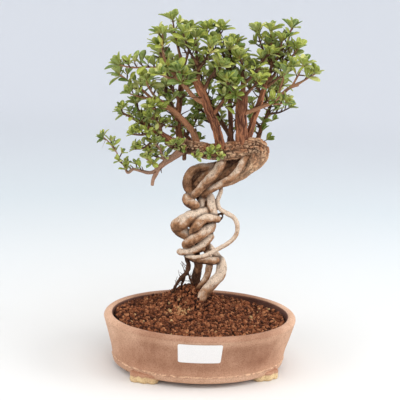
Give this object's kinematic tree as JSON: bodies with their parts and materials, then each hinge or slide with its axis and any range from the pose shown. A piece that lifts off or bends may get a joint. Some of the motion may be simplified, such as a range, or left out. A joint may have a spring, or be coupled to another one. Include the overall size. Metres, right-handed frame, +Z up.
{
  "type": "korean barberry bonsai",
  "caption": "Potted barberry bonsai with braided bare roots, a level folded trunk and upswept thorny leafy branches, in an oval footed clay pot of granular soil.",
  "frame": {"origin": "middle of the whole object's outline seen from above, on the surface that the pot's feet stand on", "axes": "+Z up, +X along the pot's long side to the right of someone who faces the label, -Y towards that person"},
  "size_m": [0.2914, 0.237, 0.4753],
  "materials": {
    "clay": "unglazed, matt, a little darker and browner low on the front",
    "soil": "reddish-brown baked clay granules, matt",
    "screen": "matt",
    "label": "smooth, blank",
    "bark": "smooth pale roots below, flaky grey-brown bark above",
    "branch": "fissured reddish-brown bark",
    "leaf": "satin yellow-green, darker in the shade"
  },
  "bodies": {
    "root": {"pot": "clay", "soil": "soil", "drain_screen_left": "screen", "drain_screen_right": "screen", "label": "label", "trunk": "bark", "branch_right": "branch", "branch_middle": "branch", "branch_back_left": "branch", "branch_left": "branch", "branch_left_low": "branch", "branch_lowest": "branch", "branch_right_back": "branch", "branch_back_middle": "branch", "branch_top_middle": "branch", "branch_back_right": "branch", "branch_back_low": "branch", "branch_upper_left": "branch", "branch_far_right": "branch", "spray_front_middle": "branch", "spray_front_left": "branch"}
  },
  "joints": []
}
